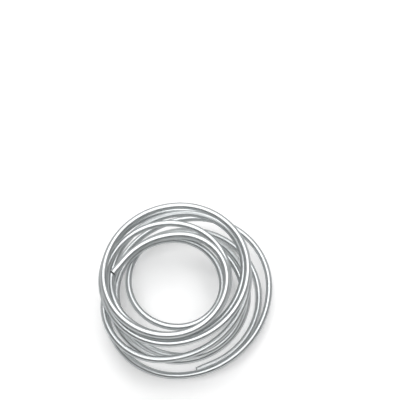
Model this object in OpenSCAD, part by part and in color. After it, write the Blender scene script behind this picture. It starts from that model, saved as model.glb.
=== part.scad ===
// Coil of drawn aluminium fuel line: one seamless tube, cut square at both ends,
// wound in loose turns that climb from a level turn on the floor.
// Millimetres, +Z up. The origin is on the floor under the middle of the coil's outline.

/* [Tube] */
// Outside diameter of the tube
tube_od = 12.7; // [8:0.1:16]
// Wall thickness of the tube
wall = 0.9; // [0.6:0.05:2]

/* [Coil] */
// Usual radius of the turns, measured to the middle of the tube
turn_radius = 125; // [100:1:180]
// Clear height between a turn and the next one up
turn_gap = 3; // [2:0.5:12]
// Climb of the tube where it first passes over its lower end, in tube diameters
lap_climb = 1.15; // [0.9:0.05:1.3]

/* [Ends] */
// Straight length at the lower cut end
low_straight = 35; // [30:1:60]
// Straight length at the upper cut end
top_straight = 35; // [30:1:60]
// Angle of the lowest bend, from its straight length to the coil's right side
low_sweep = 67; // [50:0.1:75]
// Angle of the uppermost bend, from the coil's back to its straight length
top_sweep = 53; // [40:0.1:80]

/* [Hidden] */

// The tube is a chain of quarter bends. A row is one turn, from the floor up, and holds what
// each quarter adds to the usual radius: front to right, right to back, back to left and left
// to front. Uneven quarters make the turns lie off centre from each other.
TURN_ROWS = [
    [30, 20, 40, 25],
    [55, 20, 45, 10],
    [10, 5, -20, -25],
    [-40, -30, -15, 5],
    [-10, 0, 15, -15],
    [40, 10, 20, 0],
    [20, -15, 15, -15],
    [-15, -15, -5, -5],
    [20, 0, 15, -5],
    [-20, -40, 0],
];
OFFSETS = [for (row = TURN_ROWS) each row];
BENDS = len(OFFSETS);
// The first joints lie level on the floor, and the next one is raised over the lower end.
LEVEL_JOINTS = 4;

pitch = tube_od + turn_gap;
lap_rise = lap_climb * tube_od;
bore_d = tube_od - 2 * wall;

// Radius of a quarter bend. Joint i lies between bend i - 1 and bend i.
function radius(i) = turn_radius + OFFSETS[min(max(i, 0), BENDS - 1)];

// Climb of the tube at a joint, as the sine of its angle to the floor.
function slope(i) =
    i < LEVEL_JOINTS ? 0
    : i == LEVEL_JOINTS ? lap_rise / radius(i - 1)
    : pitch / (4 * (radius(i - 1) + radius(i)));

// Turn of a bend's plane about the tube at a joint, so that its far end has its own climb. Its
// cosine is a whole number of millionths, which keeps the sections on both sides alike.
function roll(i) =
    let (sine = slope(i - 1) + slope(i + 1))
    acos(round(1e6 * sqrt(1 - sine * sine)) / 1e6);

// How far the whole millionths nearest to an angle's cosine and sine are from a true turn.
function misfit(angle) = abs(norm([round(1e6 * cos(angle)), round(1e6 * sin(angle))]) / 1e6 - 1);

// The angle within a twentieth of a degree of the given one that has the smallest misfit, so
// that a part turned by it keeps its exact size.
function true_angle(angle) =
    let (near = [for (step = [-250:250]) angle + step / 5000])
    let (misfits = [for (candidate = near) misfit(candidate)])
    near[search(min(misfits), misfits)[0]];

// A joint is [place, outward direction, direction along the tube].
FIRST_JOINT = [[0, 0, tube_od / 2], [0, -1, 0], [1, 0, 0]];
function rolled(outward, along, angle) = outward * cos(angle) - cross(outward, along) * sin(angle);
function next_joint(joint, i) =
    let (place = joint[0] + radius(i) * (joint[2] - joint[1]))
    [place, rolled(joint[2], -joint[1], roll(i + 1)), -joint[1]];
JOINTS = [for (i = 0, joint = FIRST_JOINT; i < BENDS; joint = next_joint(joint, i), i = i + 1) joint];

// The outermost points of the coil are joints, so they give the middle of its outline.
REACH_X = [for (i = [1:BENDS - 1]) JOINTS[i][0].x];
REACH_Y = [for (i = [1:BENDS - 1]) JOINTS[i][0].y];
MIDDLE = [(min(REACH_X) + max(REACH_X)) / 2, (min(REACH_Y) + max(REACH_Y)) / 2, 0];

// The tube's round section, with its bore.
module section() {
    difference() {
        circle(d = tube_od, $fn = 48);
        circle(d = bore_d, $fn = 48);
    }
}

// A quarter bend about the origin, from the X axis to the Y axis.
module quarter(r) {
    rotate_extrude(angle = 90, $fn = 72)
        translate([r, 0])
            section();
}

// The part of a quarter bend that lies past the given angle.
module past(r, angle) {
    reach = r + tube_od;
    rotate([0, 0, angle])
        translate([0, 0, -tube_od])
            cube([reach, reach, 2 * tube_od]);
}

// A straight length of tube that leaves a bend at the given angle, forwards or backwards.
module straight(r, angle, length, forwards) {
    rotate([0, 0, angle])
        translate([r, 0, 0])
            rotate([forwards ? -90 : 90, 0, 0])
                linear_extrude(length)
                    section();
}

// The lowest bend, which starts with the straight lower end.
module low_end(r) {
    start = true_angle(90 - low_sweep);
    intersection() {
        quarter(r);
        past(r, start);
    }
    straight(r, start, low_straight, false);
}

// The uppermost bend, which ends with the straight upper end.
module top_end(r) {
    stop = true_angle(top_sweep);
    difference() {
        quarter(r);
        past(r, stop);
    }
    straight(r, stop, top_straight, true);
}

// Bend i and all that follow it, each set on the end of the one before.
module chain(i) {
    r = radius(i);
    translate([-r, 0, 0]) {
        if (i == 0) {
            low_end(r);
        } else if (i == BENDS - 1) {
            top_end(r);
        } else {
            quarter(r);
        }
        if (i < BENDS - 1) {
            rotate([0, 0, 90])
                translate([r, 0, 0])
                    rotate([0, roll(i + 1), 0])
                        chain(i + 1);
        }
    }
}

// The whole tube, seamless from end to end.
module fuel_line_tube() {
    color([0.82, 0.83, 0.84])
        translate(FIRST_JOINT[0] - MIDDLE)
            rotate([0, 0, -90])
                chain(0);
}

fuel_line_tube();
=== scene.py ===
"""Looks of a loose coil of bare drawn aluminium fuel line, lying on a pale floor.

Metres, +Z up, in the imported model's frame: the coil stands on z = 0 and its outline is
centred on the origin.
"""

import math

import bpy
import numpy as np
from mathutils import Matrix, Vector


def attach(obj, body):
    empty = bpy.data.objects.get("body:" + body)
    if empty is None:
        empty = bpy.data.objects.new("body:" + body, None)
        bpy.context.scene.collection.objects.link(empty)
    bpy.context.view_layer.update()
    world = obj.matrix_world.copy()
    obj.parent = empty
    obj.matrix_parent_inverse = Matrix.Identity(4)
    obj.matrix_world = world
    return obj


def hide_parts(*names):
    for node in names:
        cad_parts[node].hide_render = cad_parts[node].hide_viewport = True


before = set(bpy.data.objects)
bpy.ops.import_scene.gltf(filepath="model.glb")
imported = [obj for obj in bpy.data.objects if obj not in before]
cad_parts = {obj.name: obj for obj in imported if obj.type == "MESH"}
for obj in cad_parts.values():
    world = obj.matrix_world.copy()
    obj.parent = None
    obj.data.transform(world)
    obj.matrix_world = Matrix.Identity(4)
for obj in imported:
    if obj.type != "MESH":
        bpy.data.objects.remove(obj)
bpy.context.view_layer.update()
MM = 0.001
QUARTER = math.radians(90)

# The tube
TUBE_RADIUS = 6.35 * MM
WALL = 0.9 * MM
BORE_RADIUS = TUBE_RADIUS - WALL

# The coil: a chain of quarter bends that climbs from a level turn on the floor
USUAL_RADIUS = 125 * MM
TURN_GAP = 3 * MM
PITCH = 2 * TUBE_RADIUS + TURN_GAP
LAP_RISE = 1.15 * 2 * TUBE_RADIUS
LEVEL_JOINTS = 4
LOW_STRAIGHT = 35 * MM
TOP_STRAIGHT = 35 * MM
# The sweeps of the end bends, 67 and 53 degrees, as the part moves them to keep its size exact
LOW_SWEEP = math.radians(66.9514)
TOP_SWEEP = math.radians(53.0214)
# What each quarter adds to the usual radius in millimetres, one turn a row, from the floor up:
# front to right, right to back, back to left and left to front. These are the part's numbers. A
# program fitted them and rounded them to 5 mm, so they weren't chosen by hand.
TURN_ROWS = [
    [30, 20, 40, 25],
    [55, 20, 45, 10],
    [10, 5, -20, -25],
    [-40, -30, -15, 5],
    [-10, 0, 15, -15],
    [40, 10, 20, 0],
    [20, -15, 15, -15],
    [-15, -15, -5, -5],
    [20, 0, 15, -5],
    [-20, -40, 0],
]
RADII = [USUAL_RADIUS + extra * MM for row in TURN_ROWS for extra in row]
BENDS = len(RADII)

# The mesh of the tube
SIDES = 36
OUTER_STEP = 5 * MM
BORE_STEP = 10 * MM
CUT_EDGE = 0.25 * MM
BURR = 0.12 * MM

# What the mesh tells its material: where a point lies in the section and along the tube, and
# how much painted shade it has, which darkens the bore
DRAWN = "drawn"
PAINTED_SHADE_ATTRIBUTE = "inner"

# The aluminium
DULLER = (0.495, 0.515, 0.52, 1)
BRIGHTER = (0.555, 0.575, 0.58, 1)
# A near-black colour painted into the bore: painted shade for the dark inside the tube, not the
# metal's own colour
PAINTED_SHADE_IN_BORE = (0.05, 0.05, 0.052, 1)
EDGE_TINT = (0.30, 0.31, 0.32, 1)
# The marks of drawing, as noise: how far it is drawn out along the tube (less is further), its
# scale, its detail and its own roughness
LINES = (0.004, 2600, 3.0, 0.65)
BANDS = (0.02, 420, 2.0, 0.5)
PATCHES = (0.35, 60, 3.0, 0.6)
# The metal's roughness from line to line, and what the bands and the patches add to it
LINE_ROUGHNESS = (0.31, 0.41)
BAND_ROUGHNESS = (-0.03, 0.03)
PATCH_ROUGHNESS = (-0.02, 0.05)
LINE_DEPTH = 0.06 * MM
LINE_STRENGTH = 0.35

# The floor and the white that it shows over its own colour, near the coil and far from it
FLOOR_REACH = 12.0
FLOOR_COLOUR = (0.97, 0.97, 0.97, 1)
NEAR, FAR = 0.9, 2.2
NEAR_WHITE, FAR_WHITE = 0.12, 0.85

# The studio: the direction of its pale side, where its light starts and stops to rise, as cosines
# to that direction, the light from its dark front and its pale side, and the heights, as sines,
# between which the white backdrop fades out
PALE_SIDE = Vector((0, 0.94, 0.34))
RISE_START, RISE_END = -0.5, 0.9
FRONT_LIGHT, PALE_LIGHT = 0.02, 0.58
BACKDROP_FULL, BACKDROP_TOP = 0.02, 0.2
WHITE = (1, 1, 1, 1)

# The lamp overhead, its sides in metres and its power in watts
LAMP_PLACE = (-0.03, 0.25, 1.95)
LAMP_WIDTH, LAMP_LENGTH = 1.8, 3.1
LAMP_POWER = 47

# The camera and what it looks at
CAMERA_ELEVATION = math.radians(60.75)
CAMERA_DISTANCE = 1.4131
LENS = 57.04
SENSOR_WIDTH = 36
LOOK_AT = Vector((0.0255, 0.2314, 0))


def radius(i):
    """Radius of a bend. Joint i lies between bend i - 1 and bend i."""
    return RADII[min(max(i, 0), BENDS - 1)]


def slope(i):
    """Climb of the tube at joint i, as the sine of its angle to the floor."""
    if i < LEVEL_JOINTS:
        return 0.0
    if i == LEVEL_JOINTS:
        return LAP_RISE / radius(i - 1)
    return PITCH / (4 * (radius(i - 1) + radius(i)))


class Bend:
    """An arc of the centreline about a centre, from a starting angle. For a distance along it,
    it gives the place, the outward side and the direction."""

    def __init__(self, centre, r, outward, along, start):
        self.centre, self.r, self.start = centre, r, start
        self.outward, self.along = outward, along

    def __call__(self, distance):
        angle = self.start + distance / self.r
        side = self.outward * math.cos(angle) + self.along * math.sin(angle)
        ahead = self.along * math.cos(angle) - self.outward * math.sin(angle)
        return self.centre + self.r * side, side, ahead


class Straight:
    """A straight length that passes through a place, offset along its own direction. It gives
    what a bend gives."""

    def __init__(self, place, side, ahead, offset):
        self.place, self.side, self.ahead = place + ahead * offset, side, ahead

    def __call__(self, distance):
        return self.place + self.ahead * distance, self.side, self.ahead


def route():
    """The tube's centreline, as a list of stretches with their lengths, and the middle of its
    outline on the floor."""
    stretches = []
    joints = []
    place, outward, along = Vector((0, 0, TUBE_RADIUS)), Vector((0, -1, 0)), Vector((1, 0, 0))
    for i in range(BENDS):
        r = radius(i)
        start = QUARTER - LOW_SWEEP if i == 0 else 0.0
        end = TOP_SWEEP if i == BENDS - 1 else QUARTER
        bend = Bend(place - r * outward, r, outward, along, start)
        if i == 0:
            stretches.append((LOW_STRAIGHT, Straight(*bend(0.0), -LOW_STRAIGHT)))
        stretches.append((r * (end - start), bend))
        if i == BENDS - 1:
            stretches.append((TOP_STRAIGHT, Straight(*bend(r * end), 0.0)))
        joints.append(place)
        place = place + r * (along - outward)
        roll = math.asin(slope(i) + slope(i + 2))
        outward, along = along, -outward
        outward = Matrix.Rotation(roll, 3, along) @ outward
    # The outermost points of the coil are joints. The first one lies before the tube begins.
    xs = [j.x for j in joints[1:]]
    ys = [j.y for j in joints[1:]]
    middle = Vector(((min(xs) + max(xs)) / 2, (min(ys) + max(ys)) / 2, 0))
    return stretches, middle


def stations(stretches, step):
    """Places along the whole tube, about a step apart, as (distance, place, side, ahead)."""
    out = []
    passed = 0.0
    for length, at in stretches:
        count = max(1, round(length / step))
        out += [(passed + length * k / count, *at(length * k / count)) for k in range(count)]
        passed += length
    out.append((passed, *stretches[-1][1](stretches[-1][0])))
    return out


def cut_rings(station, inwards):
    """The rings of one cut end, from the bore out over its burr to the outside's eased edge.
    The tube lies on the side of the cut where inwards is 1 along it, or -1 against it."""
    distance, place, side, ahead = station
    # How deep a ring lies, its radius and how much of the bore's painted shade it has
    profile = [
        (4.0 * MM, BORE_RADIUS, 1.0),
        (0.8 * MM, BORE_RADIUS, 0.6),
        (BURR, BORE_RADIUS - BURR, 0.1),
        (0.0, BORE_RADIUS, 0.0),
        (0.0, TUBE_RADIUS - CUT_EDGE, 0.0),
        (0.4 * CUT_EDGE, TUBE_RADIUS - 0.4 * CUT_EDGE, 0.0),
        (1.4 * CUT_EDGE, TUBE_RADIUS, 0.0),
    ]
    return [
        (distance + inwards * depth, place + ahead * inwards * depth, side, ahead, r, shade)
        for depth, r, shade in profile
    ]


def tube_mesh():
    """The tube as one closed skin: its outside, its two cut faces and its bore."""
    stretches, middle = route()
    outside = stations(stretches, OUTER_STEP)
    inside = stations(stretches, BORE_STEP)
    rings = cut_rings(outside[0], 1)
    rings += [(*station, TUBE_RADIUS, 0.0) for station in outside[1:-1]]
    rings += reversed(cut_rings(outside[-1], -1))
    # The whole bore gets the full painted shade
    rings += [(*station, BORE_RADIUS, 1.0) for station in reversed(inside[1:-1])]

    turn = np.linspace(0, 2 * math.pi, SIDES, endpoint=False)
    cos, sin = np.cos(turn)[:, None], np.sin(turn)[:, None]
    places, drawn, inner = [], [], []
    for distance, place, side, ahead, r, shade in rings:
        up = np.array(ahead.cross(side))
        places.append(np.array(place - middle) + r * (cos * np.array(side) + sin * up))
        drawn.append(np.hstack([r * cos, r * sin, np.full((SIDES, 1), distance)]))
        inner.append(np.full(SIDES, shade))
    faces = []
    for i in range(len(rings)):
        a, b = i * SIDES, (i + 1) % len(rings) * SIDES
        for k in range(SIDES):
            n = (k + 1) % SIDES
            faces.append((a + k, a + n, b + n, b + k))
    mesh = bpy.data.meshes.new("tube")
    mesh.from_pydata(np.vstack(places).tolist(), [], faces)
    drawn = np.vstack(drawn).astype(np.float32).ravel()
    mesh.attributes.new(DRAWN, "FLOAT_VECTOR", "POINT").data.foreach_set("vector", drawn)
    inner = np.concatenate(inner).astype(np.float32)
    mesh.attributes.new(PAINTED_SHADE_ATTRIBUTE, "FLOAT", "POINT").data.foreach_set("value", inner)
    return mesh


class Nodes:
    """A short way to write a node tree: node() makes one, and a socket is given as a value or
    as (node, output name)."""

    def __init__(self, tree):
        self.tree = tree
        tree.nodes.clear()

    def node(self, kind, inputs=None, **settings):
        made = self.tree.nodes.new(kind)
        for key, value in settings.items():
            setattr(made, key, value)
        for key, value in (inputs or {}).items():
            if isinstance(value, tuple) and isinstance(value[0], bpy.types.Node):
                self.tree.links.new(value[0].outputs[value[1]], made.inputs[key])
            else:
                made.inputs[key].default_value = value
        return made

    def math(self, operation, a, b):
        return (self.node("ShaderNodeMath", {0: a, 1: b}, operation=operation), 0)

    def marks(self, place, along, scale, detail, roughness):
        """Noise that is drawn out along the tube, which is the place's third number."""
        drawn_out = self.node("ShaderNodeMapping", {"Vector": place, "Scale": (1.0, 1.0, along)})
        inputs = {
            "Vector": (drawn_out, 0),
            "Scale": scale,
            "Detail": detail,
            "Roughness": roughness,
        }
        return (self.node("ShaderNodeTexNoise", inputs), 0)

    def between(self, value, from_low, from_high, to_low, to_high, interpolation="LINEAR"):
        inputs = {0: value, 1: from_low, 2: from_high, 3: to_low, 4: to_high}
        made = self.node("ShaderNodeMapRange", inputs, interpolation_type=interpolation)
        return (made, 0)

    def mixed(self, factor, a, b, kind):
        inputs = {"Factor": factor, "A": a, "B": b}
        return (self.node("ShaderNodeMix", inputs, data_type=kind), "Result")

    def seen(self):
        """1 for the rays that show a thing: from the camera, mirrored or let through."""
        path = self.node("ShaderNodeLightPath")
        shown = self.math("MAXIMUM", (path, "Is Camera Ray"), (path, "Is Glossy Ray"))
        return self.math("MAXIMUM", shown, (path, "Is Transmission Ray"))


def drawn_aluminium():
    """Bare drawn aluminium: bright, with fine lines along the tube and faint duller patches, and
    a near-black colour painted into the bore as painted shade.
    """
    material = bpy.data.materials.new("drawn_aluminium")
    material.use_nodes = True
    n = Nodes(material.node_tree)
    place = (n.node("ShaderNodeAttribute", attribute_name=DRAWN), "Vector")
    lines = n.marks(place, *LINES)
    bands = n.marks(place, *BANDS)
    patches = n.marks(place, *PATCHES)

    # The first two numbers of each range are where that noise mostly lies.
    tone = n.between(patches, 0.3, 0.7, 0.0, 1.0)
    colour = n.mixed(tone, DULLER, BRIGHTER, "RGBA")
    # The bore's colour is mixed towards near-black: painted shade, deepest inside the bore
    inner = (n.node("ShaderNodeAttribute", attribute_name=PAINTED_SHADE_ATTRIBUTE), "Fac")
    colour = n.mixed(inner, colour, PAINTED_SHADE_IN_BORE, "RGBA")

    rough = n.between(lines, 0.25, 0.75, *LINE_ROUGHNESS)
    rough = n.math("ADD", rough, n.between(bands, 0.3, 0.7, *BAND_ROUGHNESS))
    rough = n.math("ADD", rough, n.between(patches, 0.35, 0.75, *PATCH_ROUGHNESS))
    bump = n.node(
        "ShaderNodeBump", {"Strength": LINE_STRENGTH, "Distance": LINE_DEPTH, "Height": lines}
    )
    shader = n.node(
        "ShaderNodeBsdfPrincipled",
        {
            "Base Color": colour,
            "Metallic": 1.0,
            "Specular Tint": EDGE_TINT,
            "Roughness": rough,
            "Normal": (bump, 0),
        },
    )
    n.node("ShaderNodeOutputMaterial", {"Surface": (shader, 0)})
    return material


def tube():
    """The whole tube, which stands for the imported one."""
    piece = bpy.data.objects.new("tube", tube_mesh())
    bpy.context.scene.collection.objects.link(piece)
    piece.data.materials.append(drawn_aluminium())
    piece.data.shade_smooth()
    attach(piece, "root")
    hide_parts("fuel_line_tube")


def floor():
    """A plain, almost white floor, which keeps the coil's shadow and shows white far away."""
    mesh = bpy.data.meshes.new("floor")
    signs = [(-1, -1), (1, -1), (1, 1), (-1, 1)]
    corners = [(x * FLOOR_REACH, y * FLOOR_REACH, 0) for x, y in signs]
    mesh.from_pydata(corners, [], [(0, 1, 2, 3)])
    piece = bpy.data.objects.new("floor", mesh)
    bpy.context.scene.collection.objects.link(piece)
    material = bpy.data.materials.new("floor")
    material.use_nodes = True
    n = Nodes(material.node_tree)
    shader = n.node("ShaderNodeBsdfDiffuse", {"Color": FLOOR_COLOUR})
    place = (n.node("ShaderNodeTexCoord"), "Object")
    away = (n.node("ShaderNodeVectorMath", {0: place}, operation="LENGTH"), "Value")
    white = n.between(away, NEAR, FAR, NEAR_WHITE, FAR_WHITE, "SMOOTHSTEP")
    shown = n.math("MULTIPLY", n.seen(), white)
    glow = n.node("ShaderNodeEmission", {"Color": WHITE, "Strength": shown})
    both = n.node("ShaderNodeAddShader", {0: (shader, 0), 1: (glow, 0)})
    n.node("ShaderNodeOutputMaterial", {"Surface": (both, 0)})
    mesh.materials.append(material)


def surroundings():
    """A studio that is pale behind the coil and dark on the side that the camera looks from,
    with a white backdrop low down all round, which is seen and doesn't light the coil."""
    world = bpy.data.worlds.new("studio")
    bpy.context.scene.world = world
    world.use_nodes = True
    n = Nodes(world.node_tree)
    direction = (n.node("ShaderNodeTexCoord"), "Generated")
    turned = n.node("ShaderNodeVectorMath", {0: direction, 1: PALE_SIDE}, operation="DOT_PRODUCT")
    turned = (turned, "Value")
    light = n.between(turned, RISE_START, RISE_END, FRONT_LIGHT, PALE_LIGHT, "SMOOTHSTEP")
    height = (n.node("ShaderNodeSeparateXYZ", {0: direction}), "Z")
    backdrop = n.between(height, BACKDROP_FULL, BACKDROP_TOP, 1.0, 0.0, "SMOOTHSTEP")
    shown = n.mixed(n.math("MULTIPLY", n.seen(), backdrop), light, 1.0, "FLOAT")
    back = n.node("ShaderNodeBackground", {"Color": WHITE, "Strength": shown})
    n.node("ShaderNodeOutputWorld", {"Surface": (back, 0)})


def overhead_lamp():
    """A large soft box that faces the floor, with its length front to back."""
    data = bpy.data.lights.new("overhead", "AREA")
    data.shape = "RECTANGLE"
    data.size = LAMP_WIDTH
    data.size_y = LAMP_LENGTH
    data.energy = LAMP_POWER
    lamp = bpy.data.objects.new("overhead", data)
    lamp.location = LAMP_PLACE
    bpy.context.scene.collection.objects.link(lamp)


def camera():
    """The photograph's view of the coil."""
    data = bpy.data.cameras.new("camera")
    data.lens = LENS
    data.sensor_width = SENSOR_WIDTH
    eye = bpy.data.objects.new("camera", data)
    away = Vector((0, -math.cos(CAMERA_ELEVATION), math.sin(CAMERA_ELEVATION)))
    eye.location = LOOK_AT + CAMERA_DISTANCE * away
    eye.rotation_euler = (QUARTER - CAMERA_ELEVATION, 0, 0)
    bpy.context.scene.collection.objects.link(eye)
    bpy.context.scene.camera = eye


camera()
floor()
surroundings()
overhead_lamp()
tube()
bpy.context.scene.view_settings.view_transform = "Standard"
